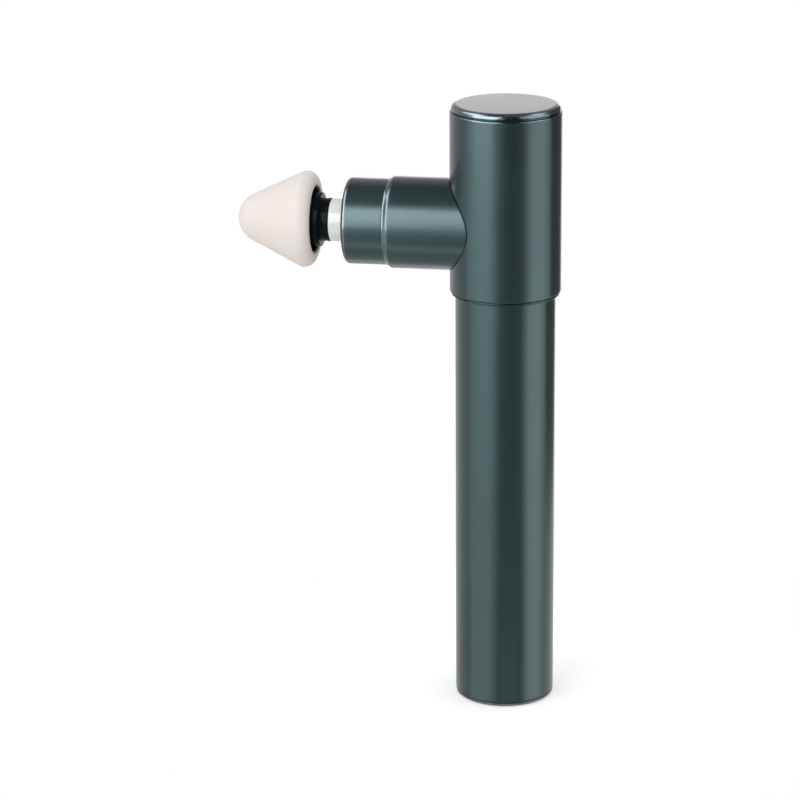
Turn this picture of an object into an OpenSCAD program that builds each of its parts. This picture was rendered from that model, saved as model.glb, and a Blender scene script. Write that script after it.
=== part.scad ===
// Slim T-shaped massage gun: a handle tube with two cells in line, a head sleeve with an upright
// outrunner motor, and a scotch yoke that drives a shaft out through the nozzle along -X.
// The origin is the middle of the base, +Z runs up the handle, and the nozzle points along -X.

/* [Battery] */
// Radius of one cell
cell_r = 9.15; // [7:0.05:11]
// Length of one cell
cell_len = 65.2; // [48:0.1:80]
// Clearance between a cell and its cradle
cell_gap = 0.2; // [0.1:0.05:0.5]
// Wall of the cradle's half pipe
liner_wall = 1; // [0.8:0.1:1.5]
// Thickness of the cradle's end walls and ribs
rib_t = 2.2; // [1.5:0.1:3.5]
// Thickness of the nickel contacts
contact_t = 0.4; // [0.2:0.05:0.8]

/* [Control board] */
// Room for the parts between the cradle and the board
chip_room = 1.15; // [1:0.05:2]
// Thickness of the control board
board_t = 1.2; // [0.8:0.1:1.6]
// Depth from the board's outer face to the tube's bore
board_cover = 2.3; // [2.2:0.1:3.5]
// Length of the control board
board_len = 72; // [60:1:86]
// Radius of one motor lead
lead_r = 0.5; // [0.3:0.05:0.6]

/* [Handle] */
// Wall of the handle tube
tube_wall = 1.5; // [1:0.1:3]
// Height of the bottom cap that shows under the tube
cap_rim_h = 1.35; // [1.2:0.05:3]
// Radius of the rounded lower edge of the bottom cap
cap_round = 1.1; // [0.5:0.1:1.2]
// Thickness of the bottom cap's floor
cap_floor = 2.2; // [1.8:0.1:3]
// Visible seam between two outer shells
seam = 0.1; // [0.05:0.01:0.3]
// Length of the tube's spigot inside the head sleeve
sleeve_lap = 6.8; // [3:0.1:20]
// How far the tube's spigot stands in from its outside
spigot_step = 0.25; // [0.2:0.05:0.6]

/* [Base fittings] */
// Radius of the power button
button_r = 4.3; // [3.5:0.1:4.6]
// Depth of the button's face above the base
button_recess = 0.6; // [0.3:0.1:0.9]
// Travel of the power button
button_travel = 0.5; // [0.3:0.05:0.7]
// Width of the light ring round the button
light_w = 1.05; // [0.8:0.05:1.3]
// Length of the upright charging port
port_len = 7.3; // [6.5:0.1:10]
// Thickness of the charging board
usb_board_t = 1; // [0.8:0.1:1.6]

/* [Head sleeve] */
// How far the sleeve stands outside the tube
sleeve_step = 1.81; // [1.5:0.01:3]
// Wall of the sleeve round the motor
sleeve_wall = 1.2; // [1:0.05:1.5]
// Height of the trim ring under the sleeve
trim_h = 1.1; // [0.8:0.1:2]
// Height of the top cap above the sleeve
top_h = 2.4; // [2:0.1:5]
// Radius of the top cap's rounded bevel
top_round = 1.37; // [0.8:0.01:1.8]

/* [Shaft drive] */
// Radius of the drive shaft
shaft_r = 7; // [6:0.1:8.5]
// Crank throw, which is half of the stroke
throw = 3.5; // [2.5:0.1:4]
// Radius of the crank roller
roller_r = 3.5; // [3:0.1:3.8]
// Play of the roller in the yoke's slot on each side
slot_play = 0.9; // [0.85:0.05:1.2]
// Wall of the yoke round its slot
yoke_wall = 2.3; // [2:0.1:3]
// Height of the yoke
yoke_h = 6; // [5:0.1:7]
// Thickness of the crank disc
disc_t = 4; // [3:0.1:4.8]
// Wall of the shaft round the socket of the massage head
socket_wall = 2; // [1.6:0.1:2.4]
// Depth of the socket
socket_len = 20; // [16:0.5:22]

/* [Nozzle] */
// Wall of the bushes that carry the shaft
bush_wall = 1.5; // [1:0.1:2]
// Length of each bush
bush_len = 8; // [6:0.5:10]
// Wall of the guide's tail inside the head
tail_wall = 1.6; // [1.2:0.1:2]
// Wall of the guide inside the nozzle
guide_wall = 2.9; // [2.4:0.1:3.6]
// Wall of the front ring's tail between the guide and the barrel
ring_tail_wall = 2; // [1.2:0.1:2.5]
// Wall of the nozzle barrel
barrel_wall = 1.57; // [1.2:0.01:2.5]
// Reach of the nozzle from the sleeve's surface
nozzle_reach = 34.25; // [30:0.05:45]
// Length of the front ring
ring_len = 13.76; // [8:0.01:16]
// How far the front ring stands inside the barrel's radius
ring_step = 0.96; // [0.5:0.01:1.2]
// Radius of the front ring's rounded edge
ring_round = 1.5; // [0.5:0.1:2]

/* [Motor] */
// Radius of the stator
stator_r = 11.6; // [10:0.1:13.9]
// Height of the stator's laminations
stator_h = 10; // [7:0.5:16]
// Air gap between stator and magnets
air_gap = 0.5; // [0.3:0.05:0.8]
// Thickness of the magnets
magnet_t = 1.15; // [0.8:0.05:1.4]
// Wall of the rotor bell
bell_wall = 1.25; // [0.8:0.05:1.4]
// Radius of the motor shaft
axle_r = 2; // [1.5:0.1:2.4]
// Outer radius of the motor's ball bearings
bearing_r = 3.5; // [3.2:0.1:4]
// Height of the motor's ball bearings
bearing_h = 2.5; // [2:0.1:3]
// Thickness of the motor's base plate
plate_t = 2.2; // [1.8:0.1:4]

/* [Massage head] */
// Bare length of shaft between the nozzle and the collar
shaft_show = 5.44; // [4:0.1:10]
// Length of the collar's narrow step
collar_step = 3; // [2:0.1:5]
// Distance from the collar's wide step to the cone's rim
collar_len = 2.2; // [1.5:0.1:4]
// How much the collar's wide step stands outside the shaft
collar_over = 2; // [1:0.1:2.5]
// Room round the collar in the recess behind the rim
recess_gap = 2.23; // [1.5:0.01:4]
// Width of the flat ring at the back of the rim
rim_flat = 1.36; // [0.8:0.01:4]
// Radius of the rim's rounded edge
rim_round = 3.36; // [2:0.01:4]
// Depth of the recess behind the rim
recess_depth = 4; // [3:0.1:5]
// Length of the cone from its rim's back to its tip
cone_len = 26.03; // [22:0.01:40]
// Radius of the cone's round tip
tip_r = 8.53; // [7:0.01:11]

/* [Hidden] */
$fn = 96;
big = 200;
// clearances of a seated piece, of a pressed ring, of the drive shaft and of the motor shaft
fit = 0.05;
slip = 0.03;
run_fit = 0.05;
axle_fit = 0.02;

// inner sizes of the head
chassis_wall = 1.41;
chassis_floor_t = 2.5;
boss_wall = 1.5;
boss_lift = 0.4;
lead_slot_w = 5.2;
bell_lift = 2;
stator_lift = 4;
bell_room = 1.8;
axle_over = 1.4;
top_room = 3.6;
screw_r = 1;
screw_inset = 2.01;
screw_angles = [45, 135, 225, 315];
flange_gap = 0.69;
flange_t = 5;
lip_t = 2.36;
ring_tail = 6;
web_t = 4;
yoke_spigot = 7.8;

// inner sizes of the massage head
core_gap = 0.1;
core_shoulder = 3;
core_taper = 3.4;
tip_wall = 4;
ring_places = [5.2, 8.4];

// handle, from the cell outwards
liner_r = cell_r + cell_gap + liner_wall;
board_in_y = liner_r + chip_room;
board_out_y = board_in_y + board_t;
handle_bore = board_out_y + board_cover;
handle_r = handle_bore + tube_wall;
cradle_r = handle_bore - 0.15;
board_w = 2 * (sqrt(cradle_r * cradle_r - board_out_y * board_out_y) - 0.7);
lead_y = board_out_y + lead_r + fit;

// heights from the base up to the motor
tube_z0 = cap_rim_h + seam;
usb_board_z = button_recess + port_len;
cradle_z0 = usb_board_z + usb_board_t;
charge_room = 2.1;
cradle_floor_t = 1.2;
contact_z = cradle_z0 + charge_room + cradle_floor_t;
lower_cell_z = contact_z + contact_t;
upper_cell_z = lower_cell_z + cell_len + contact_t;
top_contact_z = upper_cell_z + cell_len;
cradle_z1 = top_contact_z + contact_t + rib_t;
plug_h = 2;
tube_z1 = cradle_z1 + plug_h;
sleeve_z0 = tube_z1 - sleeve_lap;
trim_z0 = sleeve_z0 - trim_h;
board_z1 = top_contact_z - 10;
board_z0 = board_z1 - board_len;

// radii of the head
seat_r = handle_r - spigot_step;
seat_bore = seat_r + slip;
sleeve_r = handle_r + sleeve_step;
sleeve_bore = sleeve_r - sleeve_wall;
chassis_r = sleeve_bore - 0.1;
chassis_bore = chassis_r - chassis_wall;
counter_gap = 1.15;
counter_r = lead_y - lead_r - counter_gap;

// radii of the nozzle, from the shaft outwards
bush_r = shaft_r + run_fit + bush_wall;
guide_bore = bush_r + fit;
tail_r = guide_bore + tail_wall;
guide_r = guide_bore + guide_wall;
ring_bore = guide_r + fit;
ring_tail_r = ring_bore + ring_tail_wall;
barrel_bore = ring_tail_r + fit;
nozzle_r = barrel_bore + barrel_wall;
ring_r = nozzle_r - ring_step;
seal_r = bush_r + 1;
boss_r = tail_r + fit + boss_wall;

// heights of the head
chassis_floor_z = tube_z1 + chassis_floor_t;
nozzle_z = chassis_floor_z + boss_lift + boss_r;
plate_z = nozzle_z + boss_r;
plate_top = plate_z + plate_t;
bell_z0 = plate_top + bell_lift;
stator_z0 = plate_top + stator_lift;
winding_h = 1.6;
bell_in_z = stator_z0 + stator_h + winding_h + bell_room;
bell_top_t = 2;
bell_z1 = bell_in_z + bell_top_t;
axle_z1 = bell_z1 + axle_over;
sleeve_z1 = axle_z1 + top_room;

// motor
magnet_r0 = stator_r + air_gap;
bell_in_r = magnet_r0 + magnet_t;
bell_r = bell_in_r + bell_wall;
stem_tube_r = bearing_r + axle_fit + 1;
stator_bore = stem_tube_r + slip;
teeth = 9;
tooth_web = 1.8;
slot_mid = (stator_r + stator_bore) / 2;
slot_r = (stator_r - stator_bore) / 2 - tooth_web;
poles = 12;
screw_ring = chassis_r - screw_inset;

// crank and yoke: the pin stands at +X at rest, with the shaft drawn in
disc_z0 = nozzle_z + yoke_h / 2 + 1;
disc_z1 = disc_z0 + disc_t;
hub_z1 = plate_z - 0.8;
hub_r = 5;
pin_r = 1.5;
pin_z1 = disc_z0 + 2.25;
axle_z0 = pin_z1 + 0.3;
roller_h = 3;
slot_half_x = roller_r + slot_play;
slot_half_y = throw + roller_r + 0.4;
yoke_half_x = slot_half_x + yoke_wall;
yoke_half_y = slot_half_y + yoke_wall;
guide_back = max(counter_r + 0.6, yoke_half_x + throw + 0.8);

// distances along the nozzle from the handle's axis
shaft_back = guide_back;
flange_d = sleeve_r + flange_gap;
nozzle_d = sleeve_r + nozzle_reach;
guide_front = nozzle_d - lip_t;
step_d = nozzle_d - ring_len;
shaft_front = nozzle_d + shaft_show;
socket_back = shaft_front - socket_len;
yoke_spigot_r = shaft_r - 2.5;
collar_d = shaft_front + collar_step;
rim_d = collar_d + collar_len;
recess_d = rim_d + recess_depth;

// massage head
socket_r = shaft_r - socket_wall;
stem_r = socket_r - 0.08;
groove_r = socket_r + 1.05;
groove_d0 = shaft_front - 6.8;
groove_w = 2;
stem_back = socket_back + 0.6 + 2;
collar_r = shaft_r + collar_over;
recess_r = collar_r + recess_gap;
core_r = recess_r - core_gap;
rim_mid_r = recess_r + rim_flat;
rim_r = rim_mid_r + rim_round;
tip_d = rim_d + cone_len - tip_r;
core_front = tip_d - tip_wall;

// base fittings
spigot_r = handle_bore - fit;
spigot_in = spigot_r - 1.55;
light_bore = button_r + 0.25;
light_r = light_bore + light_w;
light_flange_r = light_r + 0.5;
button_flange_r = button_r + 1;
button_x = -(spigot_in - light_flange_r - 0.1);
switch_h = 3.4;
switch_z = usb_board_z - switch_h;
plunger_r = 1.75;
plunger_z = switch_z - 0.4;
port_w = 8.94;
port_t = 3.26;
port_x = spigot_in - port_t / 2 - 4.27;

// ---- helpers ----

// a tube or, with ri = 0, a rod from height z0 to z1
module tube(ro, ri, z0, z1) {
    translate([0, 0, z0])
        difference() {
            cylinder(r = ro, h = z1 - z0);
            if (ri > 0)
                translate([0, 0, -1]) cylinder(r = ri, h = z1 - z0 + 2);
        }
}

// turns its children so that their +Z runs out along the nozzle
module along_nozzle() {
    translate([0, 0, nozzle_z]) rotate([0, -90, 0]) children();
}

// a solid of revolution from points of radius and height
module turned(points) {
    rotate_extrude() polygon(points);
}

// a box centred in X and Y that stands at z0
module block(x, y, sx, sy, z0, z1) {
    translate([x - sx / 2, y - sy / 2, z0]) cube([sx, sy, z1 - z0]);
}

// a slot outline with round ends along Y
module stadium(half_x, half_y) {
    square([2 * half_x, 2 * (half_y - half_x)], center = true);
    for (s = [-1, 1])
        translate([0, s * (half_y - half_x)]) circle(r = half_x);
}

// ---- handle ----

module handle_tube() {
    color([0.2, 0.32, 0.33])
        union() {
            tube(handle_r, handle_bore, tube_z0, trim_z0);
            tube(seat_r, handle_bore, tube_z0, tube_z1);
        }
}

// outline of the cap's rim with a round lower edge, and the spigot above it
module cap_outline() {
    rim_r = handle_r - 0.1;
    square([rim_r - cap_round, cap_rim_h]);
    translate([0, cap_round]) square([rim_r, cap_rim_h - cap_round]);
    translate([rim_r - cap_round, cap_round])
        intersection() {
            circle(r = cap_round);
            translate([-0.01, -cap_round]) square([cap_round + 0.01, cap_rim_h]);
        }
}

module bottom_cap() {
    groove_z = 5;
    color([0.17, 0.27, 0.28])
        difference() {
            union() {
                rotate_extrude() cap_outline();
                tube(spigot_r, spigot_in, cap_rim_h - 0.3, usb_board_z);
                tube(spigot_r, 0, cap_rim_h - 0.3, cap_floor);
            }
            translate([button_x, 0, -1]) cylinder(r = light_r + fit, h = big / 10);
            translate([button_x, 0, 1.2]) cylinder(r = light_flange_r + fit, h = big / 10);
            translate([port_x, 0, -1])
                linear_extrude(cap_floor + 2) stadium(port_t / 2 + 0.12, port_w / 2 + 0.13);
            tube(spigot_r + 1, spigot_r - 0.9, groove_z, groove_z + 1.1);
        }
}

module cap_seal() {
    color([0.05, 0.05, 0.05])
        tube(handle_bore - 0.02, spigot_r - 0.88, 5.05, 6.05);
}

module light_ring() {
    color([0.9, 0.95, 1])
        translate([button_x, 0, 0]) {
            tube(light_r, light_bore, 0.15, cap_floor);
            tube(light_flange_r, light_bore, 1.22, cap_floor);
        }
}

module power_button() {
    flange_z = cap_floor + 0.25;
    color([0.12, 0.14, 0.14])
        translate([button_x, 0, 0]) {
            tube(button_r, 0, button_recess, flange_z + 0.8);
            tube(button_flange_r, 0, flange_z, flange_z + 0.8);
            tube(1.4, 0, flange_z, plunger_z);
        }
}

module switch_plunger() {
    color([0.85, 0.8, 0.7])
        translate([button_x, 0, 0]) tube(plunger_r, 0, plunger_z, switch_z + 1.2);
}

module tact_switch() {
    color([0.15, 0.15, 0.16])
        difference() {
            block(button_x, 0, 6, 6, switch_z, usb_board_z);
            translate([button_x, 0, switch_z - 1])
                cylinder(r = plunger_r + 0.08, h = 1 + 1.2 + button_travel + 0.2);
        }
}

module usb_board() {
    color([0.08, 0.3, 0.18])
        tube(cradle_r, 0, usb_board_z, cradle_z0);
}

module usb_port() {
    shell = 0.3;
    color([0.75, 0.76, 0.78])
        translate([port_x, 0, 0]) {
            difference() {
                translate([0, 0, button_recess])
                    linear_extrude(port_len) stadium(port_t / 2, port_w / 2);
                translate([0, 0, button_recess - 1])
                    linear_extrude(port_len - 0.1) stadium(port_t / 2 - shell, port_w / 2 - shell);
            }
            block(0, 0, 0.7, 6.7, button_recess + 0.8, usb_board_z - 0.5);
        }
}

module status_leds() {
    color([0.95, 0.95, 0.85])
        for (sx = [-1, 1], sy = [-1, 1])
            block(button_x + sx * 1.6, sy * 4.2, 1.6, 0.8, usb_board_z - 0.6, usb_board_z);
}

module charge_parts() {
    color([0.25, 0.25, 0.27]) {
        block(-3.5, 0, 4, 4, cradle_z0, cradle_z0 + 1.8);
        block(2.4, 3.2, 3, 3, cradle_z0, cradle_z0 + 0.9);
        for (i = [0:2])
            block(1 + i * 2.2, -3.4, 1.1, 1.8, cradle_z0, cradle_z0 + 0.8);
    }
}

// ---- battery ----

module battery_cradle() {
    top_z0 = cradle_z1 - rib_t;
    ribs = [for (i = [1:4]) contact_z + i * (top_z0 - contact_z) / 5];
    color([0.18, 0.18, 0.19])
        difference() {
            union() {
                tube(liner_r, liner_r - liner_wall, contact_z - 0.5, top_z0 + 0.5);
                for (z = ribs)
                    tube(cradle_r, liner_r - liner_wall, z - rib_t / 2, z + rib_t / 2);
                tube(cradle_r, 5, contact_z - cradle_floor_t, contact_z);
                tube(cradle_r, cradle_r - 1.4, cradle_z0, contact_z - cradle_floor_t + 0.5);
                tube(cradle_r, 4, top_z0, cradle_z1);
            }
            translate([-big / 2, -big - 3, contact_z]) cube([big, big, top_z0 - contact_z]);
            translate([-board_w / 2 - 0.1, liner_r, contact_z]) cube([board_w + 0.2, big, big]);
            for (s = [-1, 1])
                block(0, liner_r - 1, 3.4, 4, s > 0 ? top_z0 - contact_t : contact_z,
                      s > 0 ? top_z0 : contact_z + contact_t);
        }
}

// one cell with its raised positive end
module cell(z0) {
    color([0.15, 0.45, 0.6]) {
        tube(cell_r, 0, z0, z0 + cell_len - 1);
        tube(cell_r - 5.3, 0, z0 + cell_len - 1.5, z0 + cell_len);
    }
}

module lower_cell() {
    cell(lower_cell_z);
}

module upper_cell() {
    cell(upper_cell_z);
}

// a contact disc, with a tab that reaches out to the leads
module contact(z0) {
    color([0.8, 0.78, 0.7]) {
        tube(cell_r - 2, 0, z0, z0 + contact_t);
        block(0, (liner_r + 1) / 2, 2.8, liner_r + 1, z0, z0 + contact_t);
    }
}

module lower_contact() {
    contact(contact_z);
}

module link_plate() {
    color([0.8, 0.78, 0.7])
        tube(cell_r - 2, 0, upper_cell_z - contact_t, upper_cell_z);
}

module upper_contact() {
    contact(top_contact_z);
}

module control_board() {
    color([0.08, 0.3, 0.18])
        translate([-board_w / 2, board_in_y, board_z0]) cube([board_w, board_t, board_len]);
}

module control_chips() {
    chip_h = 1;
    color([0.1, 0.1, 0.11]) {
        for (i = [0:5])
            translate([i % 2 == 0 ? -4.6 : 1.4, board_in_y - chip_h, board_z0 + 34 + 6 * floor(i / 2)])
                cube([3.2, chip_h, 4]);
        translate([-2.5, board_in_y - chip_h, board_z0 + 14]) cube([5, chip_h, 5]);
        for (i = [0:3])
            translate([-4.4 + i * 2.4, board_in_y - 0.7, board_z0 + 24]) cube([1.2, 0.7, 2]);
        translate([-2.5, board_out_y, board_z0 + 20]) cube([5, 1.4, 6]);
        translate([-3, board_out_y, board_z0 + 4]) cube([6, 1.4, 8]);
    }
}

// ---- leads ----

// a round lead along a list of points, with a ball at each corner
module lead(points, r) {
    for (i = [0:len(points) - 2]) {
        d = points[i + 1] - points[i];
        l = norm(d);
        translate(points[i])
            rotate([0, acos(d[2] / l), atan2(d[1], d[0])]) cylinder(r = r, h = l);
    }
    for (i = [1:1:len(points) - 2])
        translate(points[i]) sphere(r = r);
}

module motor_leads() {
    under_bell = plate_top + 0.7;
    color([0.8, 0.6, 0.1])
        for (x = [-1.5, 0, 1.5])
            lead([
                [x, lead_y, board_z1 - 5],
                [x, lead_y, under_bell],
                [x, slot_mid, under_bell],
                [x, slot_mid, stator_z0 - winding_h]
            ], lead_r);
}

module battery_leads() {
    lead_x = 0.75;
    y = board_in_y - lead_r - fit;
    color([0.7, 0.1, 0.1])
        for (s = [-1, 1])
            translate([s * lead_x, y, s < 0 ? contact_z + contact_t : board_z1 - 4])
                cylinder(r = lead_r, h = s < 0 ? board_z0 + 4 - contact_z - contact_t
                                               : top_contact_z - board_z1 + 4);
}

// ---- head shells ----

module head_sleeve() {
    edge = 0.4;
    color([0.2, 0.32, 0.33])
        difference() {
            turned([
                [seat_bore, sleeve_z0],
                [sleeve_r - 0.2, sleeve_z0],
                [sleeve_r, sleeve_z0 + 0.2],
                [sleeve_r, sleeve_z1 - edge],
                [sleeve_r - edge, sleeve_z1],
                [sleeve_bore, sleeve_z1],
                [sleeve_bore, tube_z1 - fit],
                [seat_bore, tube_z1 - fit]
            ]);
            along_nozzle() cylinder(r = tail_r + 0.15, h = big);
        }
}

module trim_ring() {
    ring_out = sleeve_r - 0.5;
    color([0.17, 0.27, 0.28])
        rotate_extrude()
            difference() {
                translate([seat_bore, trim_z0]) square([ring_out - seat_bore, trim_h]);
                translate([ring_out - 0.6, trim_z0])
                    difference() {
                        square([1, 0.6]);
                        translate([0, 0.6]) circle(r = 0.6);
                    }
            }
}

module top_cap() {
    flange_r = sleeve_r - 0.61;
    groove = 0.3;
    top_z = sleeve_z1 + top_h;
    color([0.3, 0.36, 0.38])
        rotate_extrude()
            difference() {
                union() {
                    translate([0, sleeve_z1 - 2.6]) square([sleeve_bore - fit, 2.6 + groove]);
                    translate([0, sleeve_z1 + groove]) square([flange_r, top_h - groove - top_round]);
                    translate([0, sleeve_z1 + groove]) square([flange_r - top_round, top_h - groove]);
                    intersection() {
                        translate([flange_r - top_round, top_z - top_round]) circle(r = top_round);
                        translate([0, top_z - top_round]) square([sleeve_r, top_round]);
                    }
                }
                translate([-1, sleeve_z1 - 3]) square([sleeve_bore - fit - 1.5 + 1, 3.4]);
            }
}

// ---- chassis and motor ----

module chassis() {
    color([0.14, 0.15, 0.16])
        intersection() {
            tube(chassis_r, 0, cradle_z1, plate_z);
            difference() {
                union() {
                    tube(spigot_r, 4, cradle_z1, tube_z1 + 1);
                    tube(chassis_r, 4, tube_z1, chassis_floor_z);
                    tube(chassis_r, chassis_bore, chassis_floor_z - 0.5, plate_z);
                    intersection() {
                        tube(chassis_r, 0, tube_z1, plate_z);
                        along_nozzle() tube(boss_r, 0, guide_back, big / 4);
                    }
                    intersection() {
                        tube(chassis_r, 0, tube_z1, plate_z);
                        for (a = screw_angles)
                            rotate(a) translate([screw_ring, 0, 0]) tube(2, 0, plate_z - 6.4, plate_z);
                    }
                }
                along_nozzle() tube(tail_r + fit, 0, guide_back - 1, big / 4);
                for (a = screw_angles)
                    rotate(a) translate([screw_ring, 0, plate_z - 5]) cylinder(r = screw_r, h = 10);
                block(0, lead_y, lead_slot_w, 2 * lead_r + 1.4, cradle_z1 - 1, chassis_floor_z + 1);
            }
        }
}

module motor_base() {
    color([0.75, 0.76, 0.78])
        difference() {
            union() {
                tube(chassis_r, 0, plate_z, plate_top);
                tube(6, 0, plate_z, stator_z0);
                tube(stem_tube_r, 0, plate_z, stator_z0 + stator_h + winding_h);
            }
            translate([0, 0, plate_z - 1]) cylinder(r = bearing_r + axle_fit, h = big / 2);
            for (a = screw_angles)
                rotate(a) translate([screw_ring, 0, plate_z - 1]) {
                    cylinder(r = screw_r + 0.1, h = 10);
                    translate([0, 0, plate_t]) cylinder(r1 = screw_r + 0.1, r2 = 1.95, h = 1.01);
                }
            block(0, lead_y + 2, lead_slot_w, 4 + 2 * lead_r + 1, plate_z - 1, plate_top + 1);
        }
}

// four countersunk screws
module motor_screws() {
    color([0.6, 0.6, 0.62])
        for (a = screw_angles)
            rotate(a) translate([screw_ring, 0, 0])
                difference() {
                    union() {
                        tube(screw_r, 0, plate_z - 4.6, plate_top - 0.2);
                        translate([0, 0, plate_top - 1])
                            cylinder(r1 = screw_r, r2 = 1.85, h = 0.95);
                    }
                    translate([0, 0, plate_top - 0.6]) cylinder(r = 0.7, h = 2, $fn = 6);
                }
}

module ball_bearing(z0) {
    color([0.7, 0.7, 0.72])
        difference() {
            tube(bearing_r, axle_r + axle_fit, z0, z0 + bearing_h);
            for (z = [z0 - 0.1, z0 + bearing_h - 0.2])
                tube(bearing_r - 0.4, axle_r + 0.4, z, z + 0.3);
        }
}

module lower_bearing() {
    ball_bearing(plate_z + 0.2);
}

module upper_bearing() {
    ball_bearing(stator_z0 + stator_h + winding_h - bearing_h);
}

module stator_core() {
    color([0.35, 0.36, 0.38])
        translate([0, 0, stator_z0])
            linear_extrude(stator_h)
                difference() {
                    circle(r = stator_r);
                    circle(r = stator_bore);
                    for (i = [0:teeth - 1])
                        rotate((i + 0.25) * 360 / teeth) {
                            translate([slot_mid, 0]) circle(r = slot_r);
                            translate([slot_mid, -0.45]) square([stator_r, 0.9]);
                        }
                }
}

// end turns above and below the core, joined by the wires in the slots
module stator_windings() {
    z1 = stator_z0 + stator_h;
    ring_in = 6.4;
    ring_out = stator_r - 1.2;
    color([0.72, 0.38, 0.16]) {
        tube(ring_out, ring_in, stator_z0 - winding_h, stator_z0);
        tube(ring_out, ring_in, z1, z1 + winding_h);
        for (i = [0:teeth - 1])
            rotate((i + 0.25) * 360 / teeth) translate([slot_mid, 0, 0])
                tube(slot_r - 0.1, 0, stator_z0 - winding_h, z1 + winding_h);
    }
}

module rotor_bell() {
    color([0.55, 0.56, 0.58])
        difference() {
            union() {
                tube(bell_r, bell_in_r, bell_z0, bell_in_z + 0.5);
                tube(bell_r, 0, bell_in_z, bell_z1);
                tube(4, 0, bell_in_z - 0.4, bell_z1);
            }
            translate([0, 0, bell_in_z - 2]) cylinder(r = axle_r + 0.01, h = big / 4);
            for (i = [0:5])
                rotate(i * 60) translate([(bell_in_r + 4) / 2, 0, bell_in_z - 1]) cylinder(r = 2.4, h = 6);
        }
}

module rotor_magnets() {
    color([0.4, 0.41, 0.43])
        translate([0, 0, stator_z0])
            linear_extrude(stator_h + 0.8)
                difference() {
                    circle(r = bell_in_r - 0.02);
                    circle(r = magnet_r0);
                    for (i = [0:poles - 1])
                        rotate(i * 360 / poles) translate([0, -0.5]) square([big / 4, 1]);
                }
}

module motor_shaft() {
    color([0.8, 0.8, 0.82])
        tube(axle_r, 0, axle_z0, axle_z1);
}

// ---- crank and yoke ----

module crank_disc() {
    cheek_r = throw + pin_r + 2.2;
    color([0.5, 0.5, 0.52])
        difference() {
            union() {
                tube(cheek_r, 0, disc_z0, disc_z1);
                tube(hub_r, 0, disc_z0, hub_z1);
                intersection() {
                    tube(counter_r, 0, disc_z0, disc_z1);
                    translate([-big - 2, -big / 2, 0]) cube([big, big, big + 100]);
                }
            }
            translate([throw, 0, disc_z0 - 1]) cylinder(r = pin_r + 0.01, h = pin_z1 - disc_z0 + 1);
            translate([0, 0, axle_z0]) cylinder(r = axle_r + 0.01, h = 20);
            translate([0, 0, (disc_z1 + hub_z1) / 2]) rotate([0, 90, 0]) cylinder(r = 1.02, h = 20);
        }
}

module crank_pin() {
    head_z = nozzle_z - roller_h / 2 - 0.75;
    color([0.75, 0.75, 0.78])
        translate([throw, 0, 0]) {
            tube(pin_r, 0, head_z, pin_z1);
            tube(pin_r + 0.7, 0, head_z, head_z + 0.6);
        }
}

module crank_roller() {
    color([0.7, 0.7, 0.72])
        translate([throw, 0, 0])
            difference() {
                tube(roller_r, pin_r + 0.02, nozzle_z - roller_h / 2, nozzle_z + roller_h / 2);
                tube(roller_r - 0.6, pin_r + 0.5, nozzle_z - roller_h / 2 - 0.1, nozzle_z - roller_h / 2 + 0.15);
            }
}

module set_screw() {
    color([0.3, 0.3, 0.32])
        translate([0, 0, (disc_z1 + hub_z1) / 2])
            rotate([0, 90, 0])
                difference() {
                    tube(1, 0, axle_r + 0.02, hub_r - 0.2);
                    translate([0, 0, hub_r - 1.2]) cylinder(r = 0.5, h = 2, $fn = 6);
                }
}

// slotted block on the crank roller, with a neck and a spigot for the drive shaft
module yoke() {
    neck_w = 2 * shaft_r - 3.5;
    swing_r = chassis_bore - 0.6;
    color([0.85, 0.85, 0.82])
        difference() {
            union() {
                translate([0, 0, nozzle_z - yoke_h / 2])
                    linear_extrude(yoke_h)
                        intersection() {
                            translate([throw, 0])
                                square([2 * yoke_half_x, 2 * yoke_half_y], center = true);
                            circle(r = swing_r);
                            translate([2 * throw, 0]) circle(r = swing_r);
                        }
                translate([-shaft_back, -neck_w / 2, nozzle_z - yoke_h / 2])
                    cube([shaft_back - yoke_half_x + throw + 0.5, neck_w, yoke_h]);
                along_nozzle() tube(yoke_spigot_r, 0, shaft_back - 0.3, shaft_back + yoke_spigot);
            }
            translate([throw, 0, nozzle_z - yoke_h])
                linear_extrude(2 * yoke_h) stadium(slot_half_x, slot_half_y);
            along_nozzle() tube(1.5, 0, shaft_back + 2.8, big / 4);
        }
}

module yoke_screw() {
    color([0.35, 0.35, 0.37])
        along_nozzle()
            difference() {
                union() {
                    tube(1.48, 0, shaft_back + 3, socket_back + 0.5);
                    tube(2.75, 0, socket_back, socket_back + 1.8);
                }
                translate([0, 0, socket_back + 0.7]) cylinder(r = 1.3, h = 3, $fn = 6);
            }
}

module drive_shaft() {
    web_back = socket_back - web_t;
    color([0.92, 0.93, 0.93])
        along_nozzle()
            difference() {
                turned([
                    [0, shaft_back], [shaft_r - 0.4, shaft_back], [shaft_r, shaft_back + 0.4],
                    [shaft_r, shaft_front - 0.3], [shaft_r - 0.3, shaft_front], [0, shaft_front]
                ]);
                tube(yoke_spigot_r + fit, 0, shaft_back - 1, web_back);
                tube(1.6, 0, shaft_back, shaft_front);
                tube(socket_r, 0, socket_back, shaft_front + 1);
                tube(groove_r, 0, groove_d0, groove_d0 + groove_w);
            }
}

// ---- nozzle ----

module guide_housing() {
    color([0.16, 0.17, 0.18])
        along_nozzle()
            difference() {
                union() {
                    tube(tail_r, 0, guide_back, flange_d + 1);
                    tube(ring_tail_r, 0, flange_d, flange_d + flange_t);
                    tube(guide_r, 0, flange_d, guide_front);
                }
                tube(guide_bore, 0, guide_back - 1, guide_front + 1);
            }
}

module bush(d0) {
    color([0.78, 0.62, 0.3])
        along_nozzle() tube(bush_r, shaft_r + run_fit, d0, d0 + bush_len);
}

module rear_bush() {
    bush(guide_back + 0.4);
}

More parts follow.
